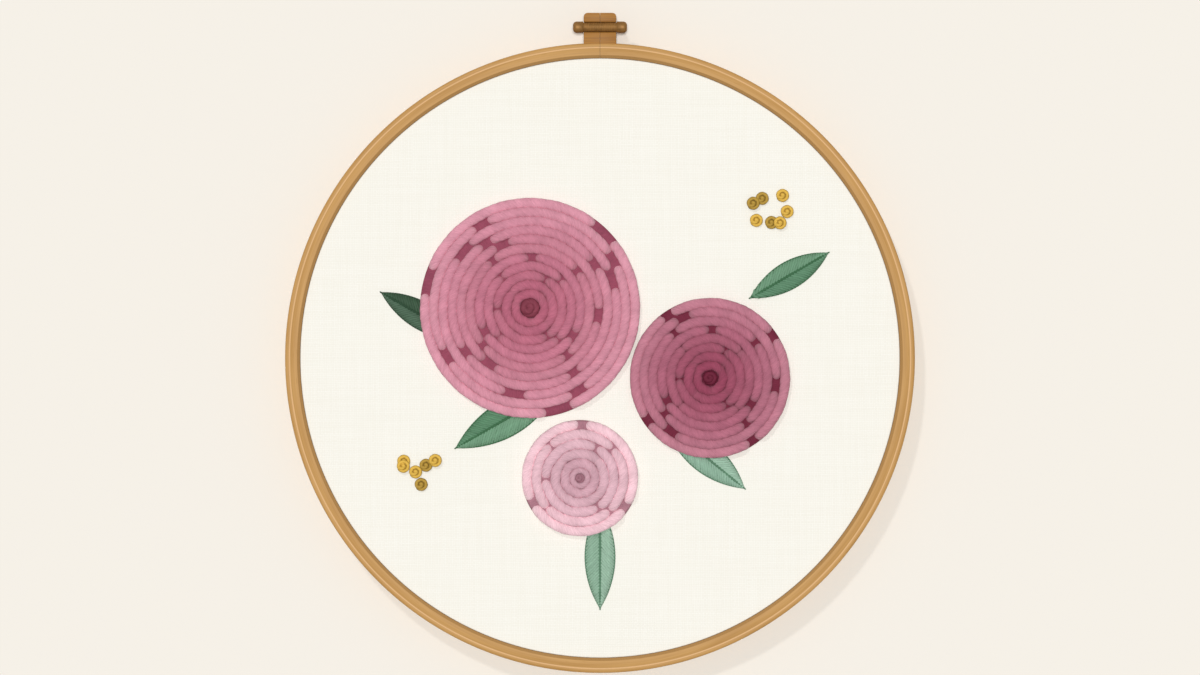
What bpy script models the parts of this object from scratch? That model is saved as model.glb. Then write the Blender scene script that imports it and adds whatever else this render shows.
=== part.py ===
"""Embroidery in a round wooden hoop, lying on its back with the stitches up.

Metres, +Z out of the embroidered face, +Y towards the clamp. The origin is at the bottom centre.
"""

import math

import bmesh
import bpy
from mathutils import Matrix

MM = 0.001
GAP = 0.3 * MM

# Outer ring: 153 mm of clear cloth inside a 3.8 mm wall, with a bevel at the front inner edge.
OPENING_R = 76.5 * MM
OUTER_R = 80.3 * MM
OUTER_DEPTH = 10.0 * MM
INNER_BEVEL = 0.8 * MM
CORNER_R = 0.6 * MM
SPLIT = 0.35 * MM
RING_SEGMENTS = 96

# Cloth: a shallow cup, stretched over the inner ring and pressed down between the two rings.
CLOTH_THICKNESS = 1.0 * MM
CLOTH_FACE_Z = 9.0 * MM
CLOTH_R = OPENING_R - GAP
CLOTH_EDGE_Z = 0.6 * MM
CLOTH_BEND = 0.8 * MM

# Inner ring, under the cloth.
INNER_OUT_R = CLOTH_R - CLOTH_THICKNESS - GAP
INNER_WALL = 3.8 * MM
INNER_DEPTH = CLOTH_FACE_Z - CLOTH_THICKNESS - GAP

# Clamp: two ears on the ends of the outer ring, a screw in their open slots and a cap nut.
EARS_WIDTH = 8.3 * MM
EARS_TOP = 88.0 * MM
EARS_DEPTH = 9.7 * MM
EARS_CORNER = 1.0 * MM
EARS_EDGE = 0.35 * MM
SCREW_Y = 84.35 * MM
SCREW_Z = 9.3 * MM
SCREW_LENGTH = 13.8 * MM
SHANK_R = 1.15 * MM
SLOT_R = SHANK_R + GAP
HEAD_R = 1.6 * MM
HEAD_ROUND = 0.6 * MM
DRIVE_SLOT = 0.5 * MM
DRIVE_DEPTH = 0.6 * MM
NUT_END_WALL = 0.8 * MM
SCREW_SEGMENTS = 24

# The hoop's centre lies below the origin by half of what the ears reach past the ring.
HOOP_Y = (OUTER_R - EARS_TOP) / 2

STITCH_Z = CLOTH_FACE_Z + GAP

# Woven wheel roses, in mm: centre from the hoop's centre, radius, radius of the eye, rows of yarn.
ROSES = {
    "rose_large": dict(x=-17.85, y=12.75, radius=28.05, eye=2.55, rows=11, colour="rose"),
    "rose_middle": dict(x=28.05, y=-5.10, radius=20.40, eye=1.85, rows=8, colour="plum"),
    "rose_small": dict(x=-5.10, y=-30.60, radius=14.80, eye=1.35, rows=6, colour="blush"),
}
ROSE_RIM_RISE = 2.3 * MM
ROSE_CROWN_RISE = 3.6 * MM
ROSE_CROWN_AT = 0.45
ROSE_MIDDLE_DIP = 0.6 * MM
ROW_GROOVE = 0.55 * MM
ROSE_SEGMENTS = 48
EYE_RISE = 3.0 * MM

# A knot is turned from points given as shares of its radius and of its rise.
EYE_PROFILE = [(0.0, 1.0), (0.6, 0.9), (1.0, 0.5), (0.8, 0.0), (0.0, 0.0)]
KNOT_PROFILE = [(0.0, 0.85), (0.45, 1.0), (0.85, 0.8), (1.0, 0.45), (0.8, 0.0), (0.0, 0.0)]

# Satin stitch leaves, in mm: free tip from the hoop's centre, the way the leaf runs from it in
# degrees, its length and width, and the rose that covers its other end.
LEAVES = {
    "leaf_upper_left": dict(x=-56.10, y=16.80, heading=-30, length=24.6, width=7.4, under="rose_large"),
    "leaf_lower_left": dict(x=-37.10, y=-23.30, heading=30, length=30.6, width=9.4, under="rose_large"),
    "leaf_upper_right": dict(x=37.90, y=15.10, heading=30, length=23.9, width=7.4, under=None),
    "leaf_lower_right": dict(x=37.00, y=-33.50, heading=141, length=26.4, width=8.5, under="rose_middle"),
    "leaf_bottom": dict(x=0.00, y=-64.00, heading=90, length=26.6, width=7.8, under="rose_small"),
}
LEAF_RIM_RISE = 0.6 * MM
LEAF_RISE = 1.3 * MM
LEAF_RIB_RISE = 1.0 * MM
LEAF_TIP_RISE = 0.1 * MM
LEAF_FULL_AT = 0.75
LEAF_STATIONS = 14

# French knots, in mm from the hoop's centre. A solid holds one, or two that lie on each other.
KNOTS = {
    "knot_upper_1": [(39.06, 39.45), (41.36, 40.70)],
    "knot_upper_2": [(46.54, 41.44)],
    "knot_upper_3": [(47.71, 37.33)],
    "knot_upper_4": [(45.90, 34.45), (43.71, 34.55)],
    "knot_upper_5": [(39.86, 35.09)],
    "knot_lower_1": [(-50.03, -26.32), (-50.13, -27.59)],
    "knot_lower_2": [(-47.02, -29.04)],
    "knot_lower_3": [(-44.37, -27.34), (-42.00, -26.11)],
    "knot_lower_4": [(-45.59, -32.23)],
}
KNOT_R = 1.4 * MM
KNOT_RISE = 2.3 * MM
KNOT_SEGMENTS = 14


def clear_scene():
    for obj in list(bpy.data.objects):
        bpy.data.objects.remove(obj)


def srgb(code):
    """A colour code such as C99B60 as linear RGBA."""
    parts = [int(code[i : i + 2], 16) / 255 for i in (0, 2, 4)]
    return [p / 12.92 if p < 0.04045 else ((p + 0.055) / 1.055) ** 2.4 for p in parts] + [1.0]


def material(name, code, roughness, metallic=0.0):
    made = bpy.data.materials.new(name)
    made.use_nodes = True
    shader = made.node_tree.nodes["Principled BSDF"]
    shader.inputs["Base Color"].default_value = srgb(code)
    shader.inputs["Roughness"].default_value = roughness
    shader.inputs["Metallic"].default_value = metallic
    made.diffuse_color = srgb(code)
    return made


def add_object(name, bm, look, smooth_angle=40):
    """Makes an object of the bmesh, with its faces pointing out and its round sides smooth."""
    bmesh.ops.remove_doubles(bm, verts=bm.verts, dist=0.001 * MM)
    bmesh.ops.recalc_face_normals(bm, faces=bm.faces)
    mesh = bpy.data.meshes.new(name)
    bm.to_mesh(mesh)
    bm.free()
    mesh.shade_smooth()
    mesh.set_sharp_from_angle(angle=math.radians(smooth_angle))
    mesh.materials.append(look)
    obj = bpy.data.objects.new(name, mesh)
    bpy.context.scene.collection.objects.link(obj)
    return obj


def turned(profile, segments, closed):
    """The bmesh of a profile of (radius, height) points turned about Z. A profile that isn't closed
    starts and ends on the axis. The first facet's middle lies at +Y."""
    bm = bmesh.new()
    verts = [bm.verts.new((r, 0, z)) for r, z in profile]
    pairs = list(zip(verts, verts[1:]))
    if closed:
        pairs.append((verts[-1], verts[0]))
    edges = [bm.edges.new(pair) for pair in pairs]
    half_step = math.pi / segments
    bmesh.ops.rotate(bm, verts=verts, matrix=Matrix.Rotation(math.pi / 2 + half_step, 3, "Z"))
    bmesh.ops.spin(
        bm,
        geom=verts + edges,
        axis=(0, 0, 1),
        cent=(0, 0, 0),
        angle=2 * math.pi,
        steps=segments,
        use_merge=True,
    )
    bmesh.ops.remove_doubles(bm, verts=bm.verts, dist=0.001 * MM)
    return bm


def arc(centre, radius, start, end, steps):
    """Points of an arc from start to end, in degrees."""
    angles = [math.radians(start + (end - start) * i / steps) for i in range(steps + 1)]
    return [(centre[0] + radius * math.cos(a), centre[1] + radius * math.sin(a)) for a in angles]


def cutter(name, bm):
    """A shape that only cuts: it isn't drawn and isn't part of the object."""
    obj = add_object(name, bm, material(name, "808080", 0.5))
    obj.hide_render = True
    obj.display_type = "WIRE"
    return obj


def box(size, centre):
    bm = bmesh.new()
    bmesh.ops.create_cube(bm, size=1.0)
    bmesh.ops.scale(bm, vec=size, verts=bm.verts)
    bmesh.ops.translate(bm, vec=centre, verts=bm.verts)
    return bm


def prism(outline, shift):
    """The solid between a flat outline and its copy, shifted."""
    bm = bmesh.new()
    face = bm.faces.new([bm.verts.new(point) for point in outline])
    grown = bmesh.ops.extrude_face_region(bm, geom=[face])["geom"]
    moved = [v for v in grown if isinstance(v, bmesh.types.BMVert)]
    bmesh.ops.translate(bm, vec=shift, verts=moved)
    return bm


def cut(obj, by):
    boolean = obj.modifiers.new("cut_" + by.name, "BOOLEAN")
    boolean.operation = "DIFFERENCE"
    boolean.solver = "EXACT"
    boolean.object = by


def outer_ring(look):
    """The split ring. Its outer corners are rounded, and its front inner edge is bevelled."""
    low = arc((OUTER_R - CORNER_R, CORNER_R), CORNER_R, -90, 0, 3)
    high = arc((OUTER_R - CORNER_R, OUTER_DEPTH - CORNER_R), CORNER_R, 0, 90, 3)
    inner = [
        (OPENING_R + INNER_BEVEL, OUTER_DEPTH),
        (OPENING_R, OUTER_DEPTH - INNER_BEVEL),
        (OPENING_R, 0.0),
    ]
    ring = add_object("outer_ring", turned(low + high + inner, RING_SEGMENTS, True), look)
    ring.location = (0, HOOP_Y, 0)
    size = (SPLIT, 4 * (OUTER_R - OPENING_R), 3 * OUTER_DEPTH)
    cut(ring, cutter("split_cutter", box(size, (0, HOOP_Y + OUTER_R, OUTER_DEPTH / 2))))


def inner_ring(look):
    inside = INNER_OUT_R - INNER_WALL
    low = arc((inside + CORNER_R, CORNER_R), CORNER_R, 180, 270, 2)
    profile = low + [
        (INNER_OUT_R, 0.0),
        (INNER_OUT_R, INNER_DEPTH - CLOTH_BEND),
        (INNER_OUT_R - CLOTH_BEND, INNER_DEPTH),
        (inside, INNER_DEPTH),
    ]
    ring = add_object("inner_ring", turned(profile, RING_SEGMENTS, True), look)
    ring.location = (0, HOOP_Y, 0)


def cloth(look):
    """The face, the rounded shoulder over the inner ring and the edge between the rings."""
    under = CLOTH_FACE_Z - CLOTH_THICKNESS
    bend = (CLOTH_R - CLOTH_BEND, CLOTH_FACE_Z - CLOTH_BEND)
    inside = CLOTH_R - CLOTH_THICKNESS
    profile = (
        [(0.0, CLOTH_FACE_Z)]
        + arc(bend, CLOTH_BEND, 90, 0, 3)
        + [
            (CLOTH_R, CLOTH_EDGE_Z),
            (inside, CLOTH_EDGE_Z),
            (inside, under - CLOTH_BEND / 2),
            (inside - CLOTH_BEND / 2, under),
            (0.0, under),
        ]
    )
    sheet = add_object("cloth", turned(profile, RING_SEGMENTS, False), look)
    sheet.location = (0, HOOP_Y, 0)


def ears(look):
    """Two mirrored blocks on the ends of the ring. The foot follows the ring, the top outer corner
    is round, and a slot for the screw is open to the front."""
    outside = EARS_WIDTH / 2
    foot_r = OUTER_R + GAP
    feet = [(x, math.sqrt(foot_r**2 - x**2)) for x in (SPLIT / 2, outside / 2, outside)]
    corner = arc((outside - EARS_CORNER, EARS_TOP - EARS_CORNER), EARS_CORNER, 0, 90, 5)
    outline = feet + corner + [(SPLIT / 2, EARS_TOP)]
    screw_y = HOOP_Y + SCREW_Y
    open_z = 2 * OUTER_DEPTH
    slot = arc((screw_y, SCREW_Z), SLOT_R, 180, 360, 10)
    slot += [(screw_y + SLOT_R, open_z), (screw_y - SLOT_R, open_z)]
    for side, name in ((-1, "ear_left"), (1, "ear_right")):
        bm = prism([(side * x, HOOP_Y + y, 0) for x, y in outline], (0, 0, EARS_DEPTH))
        front = [e for e in bm.edges if all(v.co.z > EARS_DEPTH / 2 for v in e.verts)]
        bmesh.ops.bevel(bm, geom=front, offset=EARS_EDGE, segments=2, affect="EDGES", profile=0.5)
        ear = add_object(name, bm, look)
        through = prism([(-EARS_WIDTH, y, z) for y, z in slot], (2 * EARS_WIDTH, 0, 0))
        cut(ear, cutter(name + "_slot", through))


def lay_along_x(obj, x):
    """Turns a piece made along Z so that it runs along +X from x, on the screw's axis."""
    obj.rotation_euler = (0, math.pi / 2, 0)
    obj.location = (x, HOOP_Y + SCREW_Y, SCREW_Z)


def clamp(look):
    """The screw runs from the outer end of its head to the blind hole of the cap nut."""
    half = SCREW_LENGTH / 2
    head = half - EARS_WIDTH / 2 - GAP
    reach = SCREW_LENGTH - NUT_END_WALL - GAP
    profile = [(0.0, 0.0)] + arc((HEAD_R - HEAD_ROUND, HEAD_ROUND), HEAD_ROUND, 270, 360, 4)
    profile += [(HEAD_R, head), (SHANK_R, head), (SHANK_R, reach), (0.0, reach)]
    screw = add_object("clamp_screw", turned(profile, SCREW_SEGMENTS, False), look)
    lay_along_x(screw, -half)
    drive = box((2 * DRIVE_DEPTH, 4 * HEAD_R, DRIVE_SLOT), (-half, HOOP_Y + SCREW_Y, SCREW_Z))
    cut(screw, cutter("drive_cutter", drive))
    length = half - EARS_WIDTH / 2 - GAP
    hole = length - NUT_END_WALL
    profile = [(0.0, hole), (SLOT_R, hole), (SLOT_R, 0.0), (HEAD_R, 0.0)]
    profile += arc((HEAD_R - HEAD_ROUND, length - HEAD_ROUND), HEAD_ROUND, 0, 90, 4)
    profile += [(0.0, length)]
    nut = add_object("clamp_nut", turned(profile, SCREW_SEGMENTS, False), look)
    lay_along_x(nut, EARS_WIDTH / 2 + GAP)


def rose_height(share):
    """Height of a row's crest above the cloth, for a radius as a share of the rose's."""
    if share > ROSE_CROWN_AT:
        outwards = (share - ROSE_CROWN_AT) / (1 - ROSE_CROWN_AT)
        return ROSE_CROWN_RISE + (ROSE_RIM_RISE - ROSE_CROWN_RISE) * outwards**2
    inwards = 1 - share / ROSE_CROWN_AT
    return ROSE_CROWN_RISE - ROSE_MIDDLE_DIP * inwards**2


def turned_knot(profile, radius, rise):
    return turned([(r * radius, z * rise) for r, z in profile], KNOT_SEGMENTS, False)


def rose(name, x, y, radius, eye, rows, look, eye_look):
    """A low dome of round rows, open in the middle for the eye, and the eye's own knot."""
    outside = radius * MM
    inside = eye * MM + GAP
    pitch = (outside - inside) / rows
    profile = [(inside, 0.0), (outside - pitch / 3, 0.0), (outside, ROSE_RIM_RISE / 2)]
    for row in range(rows):
        crest = outside - pitch * (row + 0.5)
        valley = outside - pitch * (row + 1)
        height = rose_height(crest / outside)
        profile.append((crest, height))
        profile.append((valley, height - ROW_GROOVE))
    flower = add_object(name, turned(profile, ROSE_SEGMENTS, True), look, smooth_angle=25)
    flower.location = (x * MM, HOOP_Y + y * MM, STITCH_Z)
    middle = add_object(name + "_eye", turned_knot(EYE_PROFILE, eye * MM, EYE_RISE), eye_look)
    middle.location = flower.location


def leaf(name, x, y, heading, length, width, under, look):
    """A lens of two arcs, thin at its rim, padded on each half and a little lower along its rib."""
    bm = bmesh.new()
    half, bulge = length * MM / 2, width * MM / 2
    big_r = (half**2 + bulge**2) / (2 * bulge)
    rows = []
    for i in range(1, LEAF_STATIONS):
        along = -half * math.cos(math.pi * i / LEAF_STATIONS)
        edge = math.sqrt(big_r**2 - along**2) - (big_r - bulge)
        fill = min(1.0, edge / bulge + 1 - LEAF_FULL_AT)
        across = [
            (-edge, LEAF_RIM_RISE * fill),
            (-edge / 2, LEAF_RISE * fill),
            (0.0, LEAF_RIB_RISE * fill),
            (edge / 2, LEAF_RISE * fill),
            (edge, LEAF_RIM_RISE * fill),
            (edge, 0.0),
            (-edge, 0.0),
        ]
        rows.append([bm.verts.new((half + along, side, rise)) for side, rise in across])
    for before, after in zip(rows, rows[1:]):
        for k in range(len(before)):
            following = (k + 1) % len(before)
            bm.faces.new((before[k], before[following], after[following], after[k]))
    for row, tip_x in ((rows[0], 0.0), (rows[-1], 2 * half)):
        tip = bm.verts.new((tip_x, 0, LEAF_TIP_RISE))
        for k in range(len(row)):
            bm.faces.new((row[k], row[(k + 1) % len(row)], tip))
    pad = add_object(name, bm, look)
    pad.location = (x * MM, HOOP_Y + y * MM, STITCH_Z)
    pad.rotation_euler = (0, 0, math.radians(heading))
    if under:
        covers = ROSES[under]
        reach = covers["radius"] * MM + GAP
        top = 2 * LEAF_RISE
        profile = [(0.0, top), (reach, top), (reach, -top), (0.0, -top)]
        trim = cutter(name + "_trim", turned(profile, 2 * ROSE_SEGMENTS, False))
        trim.location = (covers["x"] * MM, HOOP_Y + covers["y"] * MM, STITCH_Z)
        cut(pad, trim)


def knots(name, places, look):
    """One knot, or two that are joined where they lie on each other. The one that joins is turned a
    little, so that no facets of the two fall together."""
    x, y = places[0]
    first = add_object(name, turned_knot(KNOT_PROFILE, KNOT_R, KNOT_RISE), look)
    first.location = (x * MM, HOOP_Y + y * MM, STITCH_Z)
    for x, y in places[1:]:
        other = cutter(name + "_under", turned_knot(KNOT_PROFILE, KNOT_R, KNOT_RISE))
        other.location = (x * MM, HOOP_Y + y * MM, STITCH_Z)
        other.rotation_euler = (0, 0, math.pi / (2 * KNOT_SEGMENTS))
        union = first.modifiers.new("joined", "BOOLEAN")
        union.operation = "UNION"
        union.solver = "EXACT"
        union.object = other


def main():
    clear_scene()
    wood = material("hoop_wood", "C99B60", 0.55)
    ear_wood = material("ear_wood", "A97B47", 0.55)
    metal = material("clamp_metal", "8F6839", 0.35, metallic=1.0)
    linen = material("cloth_linen", "FBF8EC", 0.9)
    yarns = {
        "rose": (material("yarn_rose", "CD8296", 0.9), material("yarn_rose_dark", "85404F", 0.9)),
        "plum": (material("yarn_plum", "AB657A", 0.9), material("yarn_plum_dark", "67273B", 0.9)),
        "blush": (material("yarn_blush", "E0B0BE", 0.9), material("yarn_blush_dark", "9C6A79", 0.9)),
    }
    greens = {
        "leaf_upper_left": material("floss_deep_green", "4F6C59", 0.6),
        "leaf_lower_left": material("floss_green", "6E9A7A", 0.6),
        "leaf_upper_right": material("floss_mid_green", "648F72", 0.6),
        "leaf_lower_right": material("floss_sage", "93BAA0", 0.6),
        "leaf_bottom": material("floss_pale_sage", "9ABEA6", 0.6),
    }
    gold = material("floss_gold", "D2A54E", 0.6)
    outer_ring(wood)
    inner_ring(wood)
    cloth(linen)
    ears(ear_wood)
    clamp(metal)
    for name, given in ROSES.items():
        sizes = {key: value for key, value in given.items() if key != "colour"}
        rose(name, look=yarns[given["colour"]][0], eye_look=yarns[given["colour"]][1], **sizes)
    for name, given in LEAVES.items():
        leaf(name, look=greens[name], **given)
    for name, places in KNOTS.items():
        knots(name, places, gold)


main()
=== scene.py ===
import math

import bmesh
import bpy
import numpy as np
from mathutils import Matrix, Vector


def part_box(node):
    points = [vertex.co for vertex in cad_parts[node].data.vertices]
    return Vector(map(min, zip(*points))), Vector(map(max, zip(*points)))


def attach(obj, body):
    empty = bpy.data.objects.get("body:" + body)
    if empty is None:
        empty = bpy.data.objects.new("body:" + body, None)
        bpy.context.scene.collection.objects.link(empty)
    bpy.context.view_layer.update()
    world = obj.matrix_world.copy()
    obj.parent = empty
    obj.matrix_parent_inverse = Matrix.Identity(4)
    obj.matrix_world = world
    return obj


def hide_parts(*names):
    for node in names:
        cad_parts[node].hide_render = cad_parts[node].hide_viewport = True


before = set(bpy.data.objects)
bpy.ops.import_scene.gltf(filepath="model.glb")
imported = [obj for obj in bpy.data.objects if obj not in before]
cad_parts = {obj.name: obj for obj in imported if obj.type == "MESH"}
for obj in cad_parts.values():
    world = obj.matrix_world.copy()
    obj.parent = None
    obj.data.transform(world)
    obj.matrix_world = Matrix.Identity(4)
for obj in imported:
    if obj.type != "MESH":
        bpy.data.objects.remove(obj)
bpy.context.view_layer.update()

# The hoop lies on its back with the stitches up. Sizes are in millimetres from the hoop's centre
# and the surface it lies on, x to the right, y to the clamp and z up. A mesh is made in metres.
MM = 0.001
ring_low, ring_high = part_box("outer_ring")
HOOP_Y = (ring_low[1] + ring_high[1]) / 2 / MM
HOOP_DEPTH = (ring_high[2] - ring_low[2]) / MM
FACE_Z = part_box("cloth")[1][2] / MM


# Inner ring: a strip of bamboo bent round and glued with its ends cut aslant, sanded and oiled.
# It lies under the cloth and shows from behind, and its edges are rounded so as not to cut the cloth.
def skin(grid, disc=False):
    """Points, quads and end faces over a grid of stations along and points around. disc is for a
    flat round thing: stations go round it, and its first and last points end at its middle."""
    along, around = grid.shape[:2]
    rows = np.arange(along if disc else along - 1)[:, None]
    columns = np.arange(around - 1 if disc else around)[None, :]
    following = (rows + 1) % along
    beside = (columns + 1) % around
    corners = (
        rows * around + columns,
        rows * around + beside,
        following * around + beside,
        following * around + columns,
    )
    quads = np.stack(corners, axis=-1).reshape(-1, 4)
    if disc:
        ends = [tuple(range(first, along * around, around)) for first in (0, around - 1)]
    else:
        ends = [tuple(range(first, first + around)) for first in (0, (along - 1) * around)]
    return {"points": grid.reshape(-1, 3), "quads": quads, "ends": ends, "marks": {}}


def linked(name, data):
    made = bpy.data.objects.new(name, data)
    bpy.context.scene.collection.objects.link(made)
    return made


def piece(name, skins, look, replaced, body="root"):
    """One mesh of all the skins, moved to the hoop's centre, with their marks as attributes."""
    faces, offset = [], 0
    for part in skins:
        faces += [tuple(quad) for quad in (part["quads"] + offset).tolist()]
        faces += [tuple(i + offset for i in end) for end in part["ends"]]
        offset += len(part["points"])
    points = np.concatenate([part["points"] for part in skins])
    points = (points + [0, HOOP_Y, 0]) * MM
    mesh = bpy.data.meshes.new(name)
    mesh.from_pydata(points.tolist(), [], faces)
    for mark in skins[0]["marks"]:
        values = np.concatenate([part["marks"][mark] for part in skins]).astype(np.float32)
        kind = "FLOAT_VECTOR" if values.ndim == 2 else "FLOAT"
        field = "vector" if values.ndim == 2 else "value"
        mesh.attributes.new(mark, kind, "POINT").data.foreach_set(field, values.ravel())
    tidy = bmesh.new()
    tidy.from_mesh(mesh)
    bmesh.ops.recalc_face_normals(tidy, faces=tidy.faces)
    tidy.to_mesh(mesh)
    tidy.free()
    mesh.shade_smooth()
    mesh.set_sharp_from_angle(angle=math.radians(SHARP_FROM))
    mesh.materials.append(look)
    made = linked(name, mesh)
    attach(made, body)
    if replaced:
        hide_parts(*replaced)
    return made


def arc(centre, radius, start, end, steps):
    """Points on part of a circle, from one angle to another in degrees."""
    angles = np.radians(np.linspace(start, end, steps + 1))
    return [(centre[0] + radius * math.cos(a), centre[1] + radius * math.sin(a)) for a in angles]


def lathe(angles, radius, height, x=0.0, y=0.0):
    """A grid of points at radius and height, turned about x, y to each row of angles."""
    across, up = x + np.cos(angles) * radius, y + np.sin(angles) * radius
    return np.stack([across, up, height + 0 * across], axis=-1)


def turned(profile, start, sweep, segments, slant=0.0):
    """A profile of (radius, height) turned about the hoop's middle, from start and over sweep.
    slant is the turn of its ends, in degrees, from the inside to the outside of the wall."""
    radius, height = np.array(profile).T
    outwards = (radius - radius.min()) / (radius.max() - radius.min())
    angles = np.radians(start + sweep * np.arange(segments + 1) / segments)[:, None]
    return skin(lathe(angles + np.radians(slant) * outwards, radius, height))


def add(tree, kind, inputs=(), **settings):
    """A shader node with its settings, and its inputs as values or as sockets to link."""
    made = tree.nodes.new("ShaderNode" + kind)
    for name, value in settings.items():
        setattr(made, name, value)
    for key, value in dict(inputs).items():
        if isinstance(value, bpy.types.NodeSocket):
            tree.links.new(value, made.inputs[key])
        else:
            made.inputs[key].default_value = value
    return made


def maths(tree, operation, *values):
    return add(tree, "Math", dict(enumerate(values)), operation=operation).outputs[0]


def vectors(tree, operation, first, second):
    """Vector maths on two vectors, or for SCALE on a vector and a number."""
    inputs = {0: first, "Scale" if operation == "SCALE" else 1: second}
    return add(tree, "VectorMath", inputs, operation=operation).outputs[0]


def noise(tree, vector, scale=1.0, detail=2.0):
    return add(tree, "TexNoise", {"Vector": vector, "Scale": scale, "Detail": detail}).outputs[0]


def mix(tree, share, first, second, blend="MIX"):
    inputs = {0: share, 6: first, 7: second}
    return add(tree, "Mix", inputs, data_type="RGBA", blend_type=blend).outputs[2]


def ramp(tree, share, stops):
    """A ramp from a value to grey, through stops of (place, grey)."""
    made = add(tree, "ValToRGB", {0: share})
    bands = made.color_ramp.elements
    while len(bands) < len(stops):
        bands.new(0.5)
    for band, (place, grey) in zip(bands, stops):
        band.position = place
        band.color = (grey, grey, grey, 1)
    return made.outputs[0]


def levels(code):
    """Red, green and blue of a colour code such as C99B60, from 0 to 255."""
    return [int(code[i : i + 2], 16) for i in (0, 2, 4)]


def dye(code):
    """A colour code as linear RGBA."""
    parts = [level / 255 for level in levels(code)]
    return [p / 12.92 if p < 0.04045 else ((p + 0.055) / 1.055) ** 2.4 for p in parts] + [1.0]


def new_group(name, inputs, outputs):
    """An empty shader group, with its sockets given as name: kind."""
    tree = bpy.data.node_groups.new(name, "ShaderNodeTree")
    for way, sockets in (("INPUT", inputs), ("OUTPUT", outputs)):
        for title, kind in sockets.items():
            tree.interface.new_socket(title, in_out=way, socket_type="NodeSocket" + kind)
    return tree, tree.nodes.new("NodeGroupInput").outputs, tree.nodes.new("NodeGroupOutput").inputs


def new_material(name, **constants):
    """A material with constants on its Principled shader's own sockets."""
    made = bpy.data.materials.new(name)
    made.use_nodes = True
    shader = made.node_tree.nodes["Principled BSDF"]
    for title, value in constants.items():
        shader.inputs[title.replace("_", " ")].default_value = value
    return made, made.node_tree, shader


def placed(tree, group, inputs):
    return add(tree, "Group", inputs, node_tree=group).outputs


def finish_surface(tree, shader, outputs, relief, strength=1.0):
    """Feeds the shader from Color and Height, with relief in mm, and Roughness where it varies."""
    inputs = {"Strength": strength, "Distance": relief * MM, "Height": outputs["Height"]}
    tree.links.new(outputs["Color"], shader.inputs["Base Color"])
    tree.links.new(add(tree, "Bump", inputs).outputs["Normal"], shader.inputs["Normal"])
    if "Roughness" in outputs:
        tree.links.new(outputs["Roughness"], shader.inputs["Roughness"])


def bamboo_grain():
    """Long pale and dark fibres with short dark flecks. The grain runs along X and Y of Vector, which
    on a ring go round with it, and Z and Depth lie across it, all in metres."""
    inputs = {"Vector": "Vector", "Depth": "Float", "Pale": "Color", "Dark": "Color"}
    outputs = {"Color": "Color", "Roughness": "Float", "Height": "Float"}
    tree, given, out = new_group("Bamboo grain", inputs, outputs)

    def streaks(along, across, detail):
        """Noise with so many spots to the metre along the grain and across it."""
        place = vectors(tree, "MULTIPLY", given["Vector"], (along, along, across))
        deep = maths(tree, "MULTIPLY", given["Depth"], across)
        settings = {"Vector": place, "W": deep, "Scale": 1.0, "Detail": detail}
        return add(tree, "TexNoise", settings, noise_dimensions="4D").outputs[0]

    broad = streaks(along=40, across=700, detail=3.0)
    fibre = streaks(along=90, across=3800, detail=4.0)
    spots = streaks(along=260, across=3000, detail=1.0)
    tone = maths(tree, "MULTIPLY_ADD", fibre, 0.55, maths(tree, "MULTIPLY", broad, 0.45))
    colour = mix(tree, ramp(tree, tone, [(0.36, 0.0), (0.62, 1.0)]), given["Dark"], given["Pale"])
    flecks = ramp(tree, spots, [(0.66, 0.0), (0.74, 1.0)])
    colour = mix(tree, maths(tree, "MULTIPLY", flecks, 0.55), colour, given["Dark"])
    tree.links.new(colour, out["Color"])
    tree.links.new(maths(tree, "MULTIPLY_ADD", fibre, 0.22, 0.38), out["Roughness"])
    tree.links.new(maths(tree, "SUBTRACT", fibre, maths(tree, "MULTIPLY", flecks, 0.4)), out["Height"])
    return tree


grain = bamboo_grain()
SHARP_FROM = 50
OUTER_R = 80.3
OPENING_R = 76.5
BEVEL = 0.7
BEVEL_SOFT = 0.25
BEVEL_GRAIN = 0.2
WOOD_SHEEN = 0.18
WOOD_RELIEF = 0.03
BAMBOO_PALE = "C89A5C"
BAMBOO_DARK = "B6884C"
BEVEL_STAIN_AND_SHADE = "AC824E"
PLY_LINE_HIGHLIGHT = "E4BA88"
GLUE_LINE_R = 79.15
GLUE_LINE_HALF = 0.19
PLY_LINE_HIGHLIGHT_SHARE = 0.85
GLUE_LINE_SUNK = 0.6


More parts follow.
